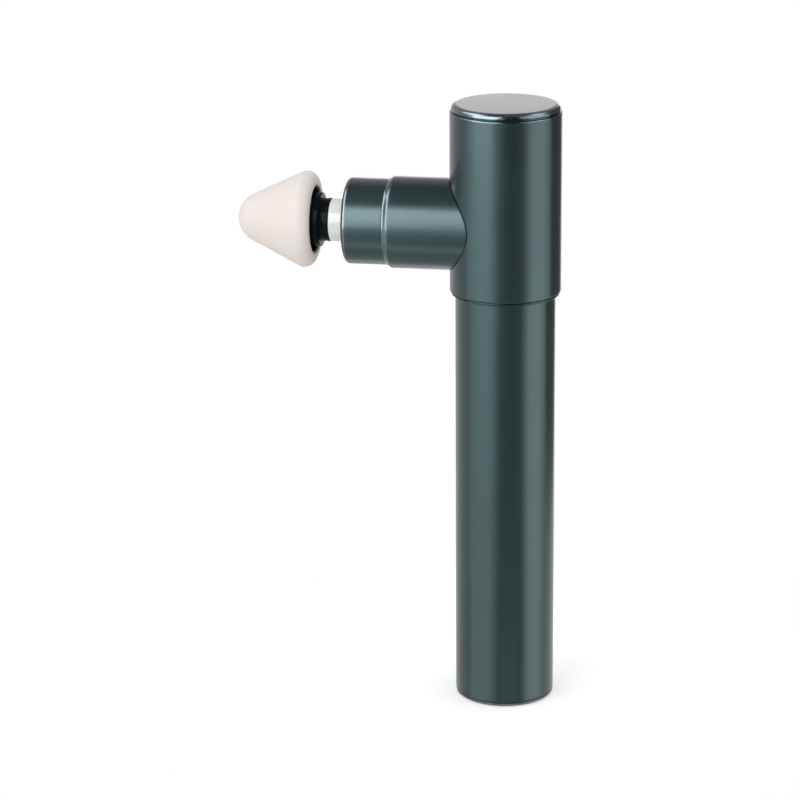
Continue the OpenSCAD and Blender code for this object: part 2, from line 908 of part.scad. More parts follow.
module front_bush() {
    bush(guide_front - bush_len);
}

module front_seal() {
    color([0.06, 0.06, 0.06])
        along_nozzle()
            difference() {
                tube(seal_r, shaft_r + 0.08, guide_front + 0.05, nozzle_d - 0.56);
                tube(seal_r - 0.8, shaft_r + 0.6, nozzle_d - 0.96, nozzle_d);
            }
}

module nozzle_barrel() {
    color([0.22, 0.34, 0.35])
        difference() {
            along_nozzle()
                turned([
                    [barrel_bore, 0], [nozzle_r, 0], [nozzle_r, step_d - 1.2],
                    [ring_r + 0.04, step_d], [barrel_bore, step_d]
                ]);
            tube(sleeve_r + seam, 0, 0, big * 2);
        }
}

module nozzle_ring() {
    color([0.22, 0.34, 0.35])
        along_nozzle()
            rotate_extrude()
                difference() {
                    union() {
                        translate([ring_bore, step_d - ring_tail]) square([ring_tail_wall, ring_tail]);
                        translate([ring_bore, step_d])
                            square([ring_r - ring_bore, ring_len - ring_round]);
                        translate([seal_r + fit, guide_front])
                            square([ring_r - ring_round - seal_r - fit, lip_t]);
                        translate([ring_r - ring_round, nozzle_d - ring_round]) circle(r = ring_round);
                    }
                    translate([0, step_d - big / 4]) square([ring_bore, guide_front - step_d + big / 4]);
                }
}

// ---- massage head ----

module grip_ring() {
    color([0.1, 0.1, 0.1])
        along_nozzle() tube(groove_r - 0.06, stem_r + 0.06, groove_d0 + 0.06, groove_d0 + groove_w - 0.06);
}

module head_core() {
    color([0.08, 0.08, 0.08])
        along_nozzle()
            difference() {
                turned([
                    [0, stem_back], [stem_r - 0.6, stem_back], [stem_r, stem_back + 0.6],
                    [stem_r, shaft_front + 0.1], [shaft_r + 0.25, shaft_front + 0.1],
                    [shaft_r + 0.25, collar_d], [collar_r - 0.5, collar_d], [collar_r, collar_d + 0.5],
                    [collar_r, recess_d], [core_r, recess_d], [core_r, recess_d + core_shoulder],
                    [core_r - core_taper, core_front], [0, core_front]
                ]);
                for (d = ring_places)
                    tube(stem_r + 1, stem_r - 1, stem_back + d - 3, stem_back + d - 1.5);
            }
}

module stem_rings() {
    color([0.5, 0.1, 0.1])
        along_nozzle()
            for (d = ring_places)
                tube(stem_r + slip, stem_r - 1 + slip, stem_back + d - 2.95, stem_back + d - 1.55);
}

// the tangent line between the rim's round edge and the round tip sets the cone
module massage_cone() {
    rim_c = [rim_mid_r, rim_d + rim_round];
    run = [-rim_mid_r, tip_d - rim_c[1]];
    slope = atan2(run[1], run[0]) - acos((rim_round - tip_r) / norm(run));
    out = [cos(slope), sin(slope)];
    color([0.93, 0.9, 0.84])
        along_nozzle()
            rotate_extrude()
                difference() {
                    intersection() {
                        union() {
                            translate(rim_c) circle(r = rim_round);
                            translate([0, tip_d]) circle(r = tip_r);
                            polygon([
                                [0, rim_d], [rim_mid_r, rim_d], rim_c, rim_c + rim_round * out,
                                [0, tip_d] + tip_r * out, [0, tip_d]
                            ]);
                        }
                        translate([0, rim_d - 1]) square([rim_r + 1, cone_len + 2]);
                    }
                    polygon([
                        [-1, rim_d - 2], [recess_r, rim_d - 2], [recess_r, recess_d],
                        [core_r + fit, recess_d], [core_r + fit, recess_d + core_shoulder + fit],
                        [core_r - core_taper + fit, core_front + fit], [-1, core_front + fit]
                    ]);
                }
}

handle_tube();
bottom_cap();
cap_seal();
light_ring();
power_button();
switch_plunger();
tact_switch();
usb_board();
usb_port();
status_leds();
charge_parts();
battery_cradle();
lower_cell();
upper_cell();
lower_contact();
link_plate();
upper_contact();
control_board();
control_chips();
motor_leads();
battery_leads();
head_sleeve();
trim_ring();
top_cap();
chassis();
motor_base();
motor_screws();
lower_bearing();
upper_bearing();
stator_core();
stator_windings();
rotor_bell();
rotor_magnets();
motor_shaft();
crank_disc();
crank_pin();
crank_roller();
set_screw();
yoke();
yoke_screw();
drive_shaft();
guide_housing();
rear_bush();
front_bush();
front_seal();
nozzle_barrel();
nozzle_ring();
grip_ring();
head_core();
stem_rings();
massage_cone();
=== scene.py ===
"""A slim T-shaped massage gun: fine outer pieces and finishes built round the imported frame."""
from math import acos, atan2, cos, pi, radians, sin, sqrt, tan

import bmesh
import bpy
from mathutils import Matrix, Vector


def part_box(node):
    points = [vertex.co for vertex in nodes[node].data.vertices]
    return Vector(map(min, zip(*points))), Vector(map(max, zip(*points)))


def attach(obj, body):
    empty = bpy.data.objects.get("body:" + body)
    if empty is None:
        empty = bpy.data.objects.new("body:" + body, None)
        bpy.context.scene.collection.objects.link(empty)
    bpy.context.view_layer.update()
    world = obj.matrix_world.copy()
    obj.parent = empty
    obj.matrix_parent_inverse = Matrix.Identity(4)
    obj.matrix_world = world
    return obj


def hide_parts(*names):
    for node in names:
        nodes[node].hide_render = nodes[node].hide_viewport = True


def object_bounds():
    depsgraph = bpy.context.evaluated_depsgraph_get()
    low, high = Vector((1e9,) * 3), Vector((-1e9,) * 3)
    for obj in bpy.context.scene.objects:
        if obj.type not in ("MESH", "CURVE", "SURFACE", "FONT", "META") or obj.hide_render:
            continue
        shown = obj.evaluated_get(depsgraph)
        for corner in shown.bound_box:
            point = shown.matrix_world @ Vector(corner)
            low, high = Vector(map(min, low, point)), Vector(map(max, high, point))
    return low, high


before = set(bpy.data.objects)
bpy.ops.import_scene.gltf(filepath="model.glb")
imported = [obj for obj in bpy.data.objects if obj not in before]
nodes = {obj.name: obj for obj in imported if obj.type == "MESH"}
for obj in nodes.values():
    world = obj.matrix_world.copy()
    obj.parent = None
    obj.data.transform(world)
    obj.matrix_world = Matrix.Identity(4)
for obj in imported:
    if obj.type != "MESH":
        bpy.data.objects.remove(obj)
cad_low, cad_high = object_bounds()
scene = bpy.context.scene

MM = 0.001


# ---- camera, lamps and studio ----

def bearing(azimuth, elevation):
    """A direction from the object: azimuth 0 is the front (-Y) and 90 is +X, both in degrees."""
    a, e = radians(azimuth), radians(elevation)
    return Vector((sin(a) * cos(e), -cos(a) * cos(e), sin(e)))


AIM = Vector((-0.03438, -0.00628, 0.1034))
CAMERA_AZIMUTH = 10.351
CAMERA_ELEVATION = 17.059
CAMERA_ROLL = -0.424
CAMERA_DISTANCE = 1.08437
LENS = 146.9
SENSOR = 36
VIEW_END = 20


def make_camera():
    data = bpy.data.cameras.new("studio_camera")
    data.lens = LENS
    data.sensor_width = SENSOR
    data.clip_end = VIEW_END
    camera = bpy.data.objects.new("studio_camera", data)
    scene.collection.objects.link(camera)
    back = bearing(CAMERA_AZIMUTH, CAMERA_ELEVATION)
    level = Vector((cos(radians(CAMERA_AZIMUTH)), sin(radians(CAMERA_AZIMUTH)), 0))
    upright = back.cross(level)
    roll = radians(CAMERA_ROLL)
    side = level * cos(roll) + upright * sin(roll)
    up = upright * cos(roll) - level * sin(roll)
    turn = Matrix((side, up, back)).transposed().to_4x4()
    camera.matrix_world = Matrix.Translation(AIM + back * CAMERA_DISTANCE) @ turn
    scene.camera = camera


def soft_lamp(name, azimuth, elevation, distance, width, height, radiance, lights, mirrored):
    """A rectangular softbox that faces the object. Radiance 1 looks as bright as white paper.

    lights says whether it lights matt surfaces, and mirrored whether it shows in glossy ones.
    """
    data = bpy.data.lights.new(name, "AREA")
    data.shape = "RECTANGLE"
    data.size = width
    data.size_y = height
    data.energy = radiance * pi * width * height
    lamp = bpy.data.objects.new(name, data)
    scene.collection.objects.link(lamp)
    out = bearing(azimuth, elevation)
    lamp.matrix_world = (Matrix.Translation(AIM + out * distance)
                         @ out.to_track_quat("Z", "Y").to_matrix().to_4x4())
    lamp.visible_camera = False
    lamp.visible_diffuse = lights
    lamp.visible_glossy = mirrored


def studio_card(name, azimuths, elevations, distance, tone):
    """A flat studio card that only shows in reflections, from one bearing to another."""
    material = bpy.data.materials.new(name)
    material.use_nodes = True
    tree = material.node_tree
    tree.nodes.clear()
    glow = tree.nodes.new("ShaderNodeEmission")
    glow.inputs["Color"].default_value = (*tone, 1)
    out_node = tree.nodes.new("ShaderNodeOutputMaterial")
    tree.links.new(glow.outputs[0], out_node.inputs["Surface"])
    width = 2 * distance * tan(radians(azimuths[1] - azimuths[0]) / 2)
    height = 2 * distance * tan(radians(elevations[1] - elevations[0]) / 2)
    bm = bmesh.new()
    bmesh.ops.create_grid(bm, x_segments=1, y_segments=1, size=0.5)
    bmesh.ops.scale(bm, vec=(width, height, 1), verts=bm.verts)
    out = bearing(sum(azimuths) / 2, sum(elevations) / 2)
    turn = out.to_track_quat("Z", "Y").to_matrix().to_4x4()
    bm.transform(Matrix.Translation(AIM + out * distance) @ turn)
    card = new_object(name, bm, material)
    card.visible_camera = False
    card.visible_diffuse = False
    card.visible_shadow = False
    card.visible_transmission = False


def new_object(name, bm, material):
    mesh = bpy.data.meshes.new(name)
    bm.to_mesh(mesh)
    bm.free()
    mesh.materials.append(material)
    made = bpy.data.objects.new(name, mesh)
    scene.collection.objects.link(made)
    return made


def grey(tone):
    return (tone, tone, tone)


def light_rays(tree):
    """1 where the eye, a mirror or a clear piece looks past the object at the studio."""
    path = tree.nodes.new("ShaderNodeLightPath")
    total = path.outputs["Is Camera Ray"]
    for kind in ("Is Glossy Ray", "Is Transmission Ray"):
        add = tree.nodes.new("ShaderNodeMath")
        add.operation = "MAXIMUM"
        tree.links.new(total, add.inputs[0])
        tree.links.new(path.outputs[kind], add.inputs[1])
        total = add.outputs[0]
    return total


ROOM_LIGHT = 0.8
BACKDROP_WHITE = 1.0


def make_world():
    """A plain white backdrop, which lights the object a little less than it shows."""
    world = bpy.data.worlds.new("studio")
    scene.world = world
    world.use_nodes = True
    tree = world.node_tree
    tree.nodes.clear()
    mix = tree.nodes.new("ShaderNodeMixShader")
    tree.links.new(light_rays(tree), mix.inputs[0])
    for place, strength in ((1, ROOM_LIGHT), (2, BACKDROP_WHITE)):
        light = tree.nodes.new("ShaderNodeBackground")
        light.inputs["Color"].default_value = (1, 1, 1, 1)
        light.inputs["Strength"].default_value = strength
        tree.links.new(light.outputs[0], mix.inputs[place])
    out = tree.nodes.new("ShaderNodeOutputWorld")
    tree.links.new(mix.outputs[0], out.inputs["Surface"])


FLOOR_RADIUS = 0.12
FLOOR_DROP = 0.05 * MM
FLOOR_GLOW = 0.32
FLOOR_STEPS = 96
PAPER = 0.86


def make_floor():
    """A round sheet of white paper that takes the shadow and is clear from below."""
    material = bpy.data.materials.new("white_paper_floor")
    material.use_nodes = True
    tree = material.node_tree
    tree.nodes.clear()
    paper = tree.nodes.new("ShaderNodeBsdfDiffuse")
    paper.inputs["Color"].default_value = (*grey(PAPER), 1)
    glow = tree.nodes.new("ShaderNodeEmission")
    lift = tree.nodes.new("ShaderNodeMath")
    lift.operation = "MULTIPLY"
    lift.inputs[1].default_value = FLOOR_GLOW
    add = tree.nodes.new("ShaderNodeAddShader")
    under = tree.nodes.new("ShaderNodeBsdfTransparent")
    side = tree.nodes.new("ShaderNodeNewGeometry")
    mix = tree.nodes.new("ShaderNodeMixShader")
    out = tree.nodes.new("ShaderNodeOutputMaterial")
    tree.links.new(light_rays(tree), lift.inputs[0])
    tree.links.new(lift.outputs[0], glow.inputs["Strength"])
    tree.links.new(paper.outputs[0], add.inputs[0])
    tree.links.new(glow.outputs[0], add.inputs[1])
    tree.links.new(side.outputs["Backfacing"], mix.inputs[0])
    tree.links.new(add.outputs[0], mix.inputs[1])
    tree.links.new(under.outputs[0], mix.inputs[2])
    tree.links.new(mix.outputs[0], out.inputs["Surface"])
    bm = bmesh.new()
    bmesh.ops.create_circle(bm, cap_ends=True, segments=FLOOR_STEPS, radius=FLOOR_RADIUS)
    bmesh.ops.translate(bm, vec=(0, 0, cad_low.z - FLOOR_DROP), verts=bm.verts)
    floor = new_object("paper_floor", bm, material)
    floor.visible_glossy = False


# name, azimuth, elevation, distance, width, height, radiance, lights, mirrored
LAMPS = [
    ("left_softbox", -36, 22, 1.1, 1.14, 1.16, 3.0, False, True),
    ("left_fill", -36, 30, 1.2, 1.2, 1.2, 1.05, True, False),
    ("high_left_softbox", -88, 52, 0.93, 0.62, 0.5, 2.6, False, True),
    ("high_right_softbox", 104, 50, 0.93, 0.5, 0.4, 1.5, False, True),
    ("right_softbox", 78, 5, 1.2, 0.85, 1.6, 0.5, True, True),
    ("back_fill", 120, 14, 1.2, 1.2, 1.2, 0.5, True, False),
]

# name, azimuths, elevations, distance, colour
CARDS = [
    ("front_card_edge", (-18, 57), (-50, 15), 1.04, grey(0.72)),
    ("front_card_middle", (-7, 49), (-50, 9), 1.02, grey(0.25)),
    ("front_card", (4, 40), (-25, 62), 1.0, grey(0.02)),
    ("front_card_low", (4, 40), (-50, -25), 1.0, grey(0.6)),
    ("under_card", (150, 230), (-116, -60), 1.0, grey(0.5)),
    ("right_card", (108, 168), (-20, 60), 1.0, grey(0.12)),
    ("right_card_low", (108, 168), (-60, -20), 1.0, grey(0.62)),
    ("left_card", (-168, -78), (-60, 60), 1.0, grey(0.55)),
    ("ceiling_card", (150, 230), (48, 122), 0.9, grey(0.2)),
    ("back_card", (150, 230), (18, 56), 0.95, (0.46, 0.36, 0.42)),
]


def make_studio():
    scene.view_settings.view_transform = "Standard"
    make_world()
    make_floor()
    for lamp in LAMPS:
        soft_lamp(*lamp)
    for card in CARDS:
        studio_card(*card)


# ---- sizes from the frame ----

def radius_of(node):
    low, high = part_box(node)
    return (high.y - low.y) / 2


def heights_of(node):
    low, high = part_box(node)
    return low.z, high.z


def reaches_of(node):
    """Nearest and farthest distance of a node along the nozzle, from the handle's axis."""
    low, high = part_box(node)
    return -high.x, -low.x


# how far an edge is eased, from a hairline to a round one, and the gap where two parts fit
HAIR = 0.05 * MM
KEEN = 0.08 * MM
FINE = 0.1 * MM
SMALL = 0.15 * MM
SOFT = 0.2 * MM
ROUND = 0.3 * MM
FIT = 0.05 * MM

# the handle and head: heights along Z, radii and bores
tube_z0, tube_z1 = heights_of("handle_tube")
sleeve_z0, sleeve_z1 = heights_of("head_sleeve")
trim_z0, trim_z1 = heights_of("trim_ring")
cap_z0, cap_z1 = heights_of("top_cap")
tube_r = radius_of("handle_tube")
tube_bore = radius_of("usb_board") + 0.15 * MM
sleeve_r = radius_of("head_sleeve")
sleeve_bore = radius_of("motor_base") + 0.1 * MM
trim_r = radius_of("trim_ring")
seat_r = tube_r - 0.25 * MM
seat_bore = seat_r + 0.03 * MM

# the nozzle and massage head: reaches from the handle's axis, and radii
ring_d0, ring_d1 = reaches_of("nozzle_ring")
shaft_d0, shaft_d1 = reaches_of("drive_shaft")
core_d0, core_d1 = reaches_of("head_core")
cone_d0, cone_d1 = reaches_of("massage_cone")
seal_d0, seal_d1 = reaches_of("front_seal")
barrel_low, barrel_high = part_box("nozzle_barrel")
barrel_d1 = -barrel_low.x
barrel_r = (barrel_high.z - barrel_low.z) / 2
guide_d1 = reaches_of("guide_housing")[1]
shaft_r = radius_of("drive_shaft")
cone_r = radius_of("massage_cone")
seal_r = radius_of("front_seal")

# sizes that two pieces share, or a piece and its finish
BARREL_WALL = 1.57 * MM
BARREL_CHAMFER = 1.7 * MM
BASE_ROUND = 1.1 * MM
HUB_R = shaft_r + 4.13 * MM
HUB_WIDTH = 3 * MM
HUB_TAPER = 3.4 * MM
HUB_D0 = cone_d0 + 4 * MM
BUTTON_R = 4.3 * MM

# places of the turned pieces, which are all made round Z
NOZZLE_Z = sum(heights_of("drive_shaft")) / 2
UPRIGHT = Matrix.Identity(4)
ALONG_NOZZLE = Matrix(((0, 0, -1, 0), (0, 1, 0, 0), (1, 0, 0, NOZZLE_Z), (0, 0, 0, 1)))
light_low, light_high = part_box("light_ring")
BUTTON_AXIS = Matrix.Translation(((light_low.x + light_high.x) / 2, 0, 0))


# ---- shared finish groups ----

def new_group(name, inputs, outputs):
    """A node group with a Vector, its float inputs and outputs, and the sockets inside it."""
    group = bpy.data.node_groups.new(name, "ShaderNodeTree")
    group.interface.new_socket(name="Vector", in_out="INPUT", socket_type="NodeSocketVector")
    for label, value in inputs.items():
        made = group.interface.new_socket(name=label, in_out="INPUT", socket_type="NodeSocketFloat")
        made.default_value = value
    for label in outputs:
        group.interface.new_socket(name=label, in_out="OUTPUT", socket_type="NodeSocketFloat")
    given = group.nodes.new("NodeGroupInput").outputs
    wanted = group.nodes.new("NodeGroupOutput").inputs
    return group, given, wanted


def feed(tree, given, target):
    """Sets a socket to a number, or links another socket to it."""
    if isinstance(given, (int, float)):
        target.default_value = given
    else:
        tree.links.new(given, target)


def math_node(tree, operation, *values, clamp=False):
    node = tree.nodes.new("ShaderNodeMath")
    node.operation = operation
    node.use_clamp = clamp
    for target, value in zip(node.inputs, values):
        feed(tree, value, target)
    return node.outputs[0]


def range_node(tree, value, low, high, to_low=0.0, to_high=1.0):
    node = tree.nodes.new("ShaderNodeMapRange")
    tree.links.new(value, node.inputs["Value"])
    for name, given in (("From Min", low), ("From Max", high), ("To Min", to_low), ("To Max", to_high)):
        feed(tree, given, node.inputs[name])
    return node.outputs["Result"]


def noise_node(tree, vector, scale, detail, roughness):
    node = tree.nodes.new("ShaderNodeTexNoise")
    tree.links.new(vector, node.inputs["Vector"])
    tree.links.new(scale, node.inputs["Scale"])
    node.inputs["Detail"].default_value = detail
    node.inputs["Roughness"].default_value = roughness
    return node.outputs["Fac"]


def height_of(tree, vector):
    split = tree.nodes.new("ShaderNodeSeparateXYZ")
    tree.links.new(vector, split.inputs[0])
    return split.outputs["Z"]


def make_grain_group():
    """Fine blasted or moulded grain, with a slow drift of tone over the whole piece."""
    group, given, wanted = new_group("surface_grain", {"Grain Scale": 2500.0, "Drift Scale": 40.0},
                                     ["Height", "Speck", "Drift"])
    fine = noise_node(group, given["Vector"], given["Grain Scale"], 3.0, 0.6)
    slow = noise_node(group, given["Vector"], given["Drift Scale"], 2.0, 0.5)
    group.links.new(fine, wanted["Height"])
    group.links.new(range_node(group, fine, 0.35, 0.65), wanted["Speck"])
    group.links.new(range_node(group, slow, 0.3, 0.7), wanted["Drift"])
    return group


def make_wear_group():
    """A mask along outer edges, broken up as handling breaks it up."""
    group, given, wanted = new_group("edge_wear", {"Amount": 0.5, "Break Scale": 600.0}, ["Mask"])
    geometry = group.nodes.new("ShaderNodeNewGeometry")
    edge = range_node(group, geometry.outputs["Pointiness"], 0.51, 0.6)
    breaks = noise_node(group, given["Vector"], given["Break Scale"], 4.0, 0.6)
    rubbed = range_node(group, breaks, 0.4, 0.62)
    mask = math_node(group, "MULTIPLY", edge, rubbed)
    mask = math_node(group, "MULTIPLY", mask, given["Amount"], clamp=True)
    group.links.new(mask, wanted["Mask"])
    return group


def make_handling_group():
    """Soft smudges from handling, as a roughness between two values."""
    group, given, wanted = new_group("handling_smudges", {"Smudge Scale": 70.0, "Smooth": 0.3, "Rough": 0.4},
                                     ["Roughness"])
    cloud = noise_node(group, given["Vector"], given["Smudge Scale"], 4.0, 0.55)
    roughness = range_node(group, cloud, 0.35, 0.65, given["Smooth"], given["Rough"])
    group.links.new(roughness, wanted["Roughness"])
    return group


def make_painted_light_band_group():
    """A mask over one band along Z, where a tone of its own paints light or shade onto an edge: a painted
    highlight, a painted shade line or a painted reflection.
    """
    group, given, wanted = new_group("painted_light_band", {"Low": 0.0, "High": 1 * MM, "Soft": 0.05 * MM}, ["Mask"])
    height = height_of(group, given["Vector"])
    soft = given["Soft"]
    above = range_node(group, height, math_node(group, "SUBTRACT", given["Low"], soft),
                       math_node(group, "ADD", given["Low"], soft))
    below = range_node(group, height, math_node(group, "SUBTRACT", given["High"], soft),
                       math_node(group, "ADD", given["High"], soft), 1.0, 0.0)
    group.links.new(math_node(group, "MULTIPLY", above, below), wanted["Mask"])
    return group


def make_line_group():
    """Fine parallel lines along Z, such as turning marks, laminations or wound wire."""
    group, given, wanted = new_group("fine_lines", {"Lines": 3000.0}, ["Height", "Shade"])
    phase = math_node(group, "MULTIPLY", height_of(group, given["Vector"]), given["Lines"])
    wave = math_node(group, "SINE", phase)
    group.links.new(range_node(group, wave, -1.0, 1.0), wanted["Height"])
    group.links.new(range_node(group, wave, -1.0, -0.2), wanted["Shade"])
    return group


grain_group = make_grain_group()
wear_group = make_wear_group()
handling_group = make_handling_group()
line_group = make_line_group()
painted_light_band_group = make_painted_light_band_group()


# ---- materials ----

def group_node(tree, group, vector, **values):
    node = tree.nodes.new("ShaderNodeGroup")
    node.node_tree = group
    tree.links.new(vector, node.inputs["Vector"])
    for name, value in values.items():
        node.inputs[name.replace("_", " ").title()].default_value = value
    return node


def blend_colours(tree, factor, first, second):
    node = tree.nodes.new("ShaderNodeMix")
    node.data_type = "RGBA"
    tree.links.new(factor, node.inputs["Factor"])
    for place, value in (("A", first), ("B", second)):
        sockets = [s for s in node.inputs if s.name == place and s.type == "RGBA"]
        if isinstance(value, tuple):
            sockets[0].default_value = (*value, 1)
        else:
            tree.links.new(value, sockets[0])
    return [s for s in node.outputs if s.type == "RGBA"][0]


def shade(colour, factor):
    """A lighter or darker tone of a colour."""
    return tuple(min(1.0, c * factor) for c in colour)


def turned_vector(tree, vector, turn):
    """The same coordinates turned, so that a pattern along Z runs along the nozzle."""
    if not turn:
        return vector
    mapping = tree.nodes.new("ShaderNodeMapping")
    mapping.inputs["Rotation"].default_value = turn
    tree.links.new(vector, mapping.inputs["Vector"])
    return mapping.outputs["Vector"]


LINE_SHADE = 0.7
WORN_SHADE = 1.6
BUMP_STRENGTH = 0.5


def finish(name, colour, smooth, rough, metallic=0.0, grain=2500.0, grain_depth=0.02, drift=0.06,
           speck=0.05, wear=0.5, worn=None, lines=0.0, line_depth=0.0, line_turn=None, coat=0.0,
           coat_roughness=0.1, specular=0.5, sheen=0.0, band=None, band_turn=None,
           painted_light_colour=None, band_rough=0.14):
    """One procedural finish. Depths are in millimetres, and scales are per metre.

    drift and speck vary the tone, wear rubs the edges, lines are turning marks or wound wire, and band
    is a stretch along the piece's axis with a gloss of its own and a tone that paints light or shade there.
    """
    material = bpy.data.materials.new(name)
    material.use_nodes = True
    tree = material.node_tree
    shader = tree.nodes["Principled BSDF"]
    shader.inputs["Metallic"].default_value = metallic
    shader.inputs["Coat Weight"].default_value = coat
    shader.inputs["Coat Roughness"].default_value = coat_roughness
    shader.inputs["Specular IOR Level"].default_value = specular
    shader.inputs["Sheen Weight"].default_value = sheen
    place = tree.nodes.new("ShaderNodeTexCoord").outputs["Object"]
    body = group_node(tree, grain_group, place, grain_scale=grain)
    tone = blend_colours(tree, body.outputs["Drift"], shade(colour, 1 - drift), shade(colour, 1 + drift))
    dots = tree.nodes.new("ShaderNodeMix")
    dots.data_type = "RGBA"
    dots.blend_type = "MULTIPLY"
    colours = [s for s in dots.inputs if s.type == "RGBA"]
    tree.links.new(tone, colours[0])
    tree.links.new(blend_colours(tree, body.outputs["Speck"], grey(1 - speck), grey(1)), colours[1])
    dots.inputs["Factor"].default_value = 1.0
    base = [s for s in dots.outputs if s.type == "RGBA"][0]
    height = body.outputs["Height"]
    if lines:
        marks = group_node(tree, line_group, turned_vector(tree, place, line_turn), lines=lines)
        base = blend_colours(tree, marks.outputs["Shade"], shade(colour, LINE_SHADE), base)
        mixed = math_node(tree, "MULTIPLY", marks.outputs["Height"], line_depth / grain_depth)
        height = math_node(tree, "ADD", height, mixed)
    if wear:
        worn_mask = group_node(tree, wear_group, place, amount=wear).outputs["Mask"]
        base = blend_colours(tree, worn_mask, base, worn or shade(colour, WORN_SHADE))
    smudge = group_node(tree, handling_group, place, smooth=smooth, rough=rough)
    gloss = smudge.outputs["Roughness"]
    # the band's tone is painted light: it paints a highlight, a shade line or a reflection into the colour
    if band:
        painted_band_mask = group_node(tree, painted_light_band_group, turned_vector(tree, place, band_turn), low=band[0], high=band[1])
        base = blend_colours(tree, painted_band_mask.outputs["Mask"], base, painted_light_colour)
        gloss = range_node(tree, painted_band_mask.outputs["Mask"], 0.0, 1.0, gloss, band_rough)
    tree.links.new(base, shader.inputs["Base Color"])
    tree.links.new(gloss, shader.inputs["Roughness"])
    bump = tree.nodes.new("ShaderNodeBump")
    bump.inputs["Distance"].default_value = grain_depth * MM
    bump.inputs["Strength"].default_value = BUMP_STRENGTH
    tree.links.new(height, bump.inputs["Height"])
    tree.links.new(bump.outputs["Normal"], shader.inputs["Normal"])
    return material


GREEN = (0.036, 0.076, 0.080)
WORN_GREEN = (0.16, 0.2, 0.2)
ALONG_X = (0, radians(90), 0)

# bands of painted highlight, painted shade and painted reflection, from one place to the next along a
# piece's axis
PAST_END = 1 * MM
# the sleeve's top edge is polished, and its lighter tone is a painted highlight
SLEEVE_HIGHLIGHT_BAND = (sleeve_z1 - ROUND, sleeve_z1 + PAST_END)
# the lid's bevel is polished, and its lighter tone is a painted highlight
LID_HIGHLIGHT_BAND = (sleeve_z1 + 0.9 * MM, cap_z1 - 0.06 * MM)
# the barrel's chamfer is glossier, and its lighter tone is a painted highlight
BARREL_HIGHLIGHT_BAND = (barrel_d1 - BARREL_CHAMFER, barrel_d1 + PAST_END)
# a thin line on the nose's rounding, whose lighter tone is a painted highlight
NOSE_HIGHLIGHT_BAND = (ring_d1 - 1.25 * MM, ring_d1 - 0.8 * MM)
# the trim band's lower edge, whose near-black tone is a painted shade line
TRIM_SHADE_BAND = (trim_z0 - PAST_END, trim_z0 + 0.28 * MM)
# the bottom cap's rounding, whose lighter tone is a painted reflection of the white floor
BASE_REFLECTION_BAND = (0.06 * MM, BASE_ROUND)


def painted_light_metal(name, band, painted_light_colour, smooth=0.28, rough=0.34, coat_roughness=0.2, **extra):
    """The green metal with a band of another tone and gloss, whose tone paints light or shade onto one edge:
    a painted highlight, a painted shade line or a painted reflection.
    """
    return finish(name, GREEN, smooth, rough, metallic=1, grain=3500, grain_depth=0.0012, drift=0.04,
                  speck=0.05, wear=0.3, worn=WORN_GREEN, coat=1.0, coat_roughness=coat_roughness,
                  band=band, painted_light_colour=painted_light_colour, **extra)


green_metal = finish("green_anodised", GREEN, 0.28, 0.34, metallic=1, grain=3500, grain_depth=0.0015,
                     drift=0.04, speck=0.06, wear=0.35, worn=WORN_GREEN, coat=1.0, coat_roughness=0.2)
# the sleeve with a painted highlight on its top edge
sleeve_metal = painted_light_metal("green_sleeve", SLEEVE_HIGHLIGHT_BAND, (0.16, 0.2, 0.21))
# the lid with a painted highlight on its bevel
cap_metal = painted_light_metal("green_polished_painted_highlight", LID_HIGHLIGHT_BAND, (0.14, 0.2, 0.225), 0.12, 0.18, 0.06, band_rough=0.22)
# the barrel with a painted highlight on its chamfer
barrel_metal = painted_light_metal("green_barrel", BARREL_HIGHLIGHT_BAND, (0.10, 0.145, 0.155), 0.32, 0.38,
                         band_turn=ALONG_X, band_rough=0.2)
# the nose with a thin painted highlight on its rounding
nose_metal = painted_light_metal("green_nose", NOSE_HIGHLIGHT_BAND, (0.15, 0.19, 0.2), 0.32, 0.38, band_turn=ALONG_X,
                       band_rough=0.18)
# the trim band with a painted shade line at its lower edge
trim_metal = painted_light_metal("green_trim", TRIM_SHADE_BAND, (0.01, 0.02, 0.022), band_rough=0.4)
# the bottom cap with a painted reflection of the floor on its rounding
base_metal = painted_light_metal("green_base", BASE_REFLECTION_BAND, (0.15, 0.165, 0.17), band_rough=0.3)
pale_shaft = finish("pale_polished", (0.98, 0.982, 0.985), 0.12, 0.2, grain=3000, grain_depth=0.001,
                    drift=0.008, speck=0.01, wear=0.2, worn=(0.95, 0.95, 0.95), coat=0.6)
cream = finish("cream_silicone", (0.8, 0.738, 0.7), 0.5, 0.6, grain=1800, grain_depth=0.006, drift=0.015,
               speck=0.02, wear=0.2, worn=(0.84, 0.78, 0.74), specular=0.35, sheen=0.05)
collar_plastic = finish("collar_moulded", (0.004, 0.008, 0.01), 0.14, 0.22, grain=2200, grain_depth=0.002,
                        drift=0.1, speck=0.1, wear=0.3, worn=(0.03, 0.03, 0.03), specular=0.07)
black_plastic = finish("black_moulded", (0.012, 0.013, 0.014), 0.25, 0.38, grain=2200, grain_depth=0.004,
                       drift=0.1, speck=0.15, wear=0.4, worn=(0.05, 0.05, 0.05))
button_plastic = finish("button_satin", (0.03, 0.034, 0.035), 0.3, 0.42, grain=2600, grain_depth=0.003,
                        drift=0.1, speck=0.12, wear=0.4, worn=(0.08, 0.08, 0.08))
switch_plastic = finish("switch_ivory", (0.6, 0.55, 0.45), 0.4, 0.5, grain_depth=0.004)
light_pipe = finish("light_pipe_frosted", (0.82, 0.86, 0.88), 0.35, 0.5, grain_depth=0.003, wear=0.2,
                    worn=(0.9, 0.92, 0.93), coat=0.3)
lamp_clear = finish("lamp_resin", (0.85, 0.8, 0.5), 0.15, 0.25, grain_depth=0.001, coat=0.5)
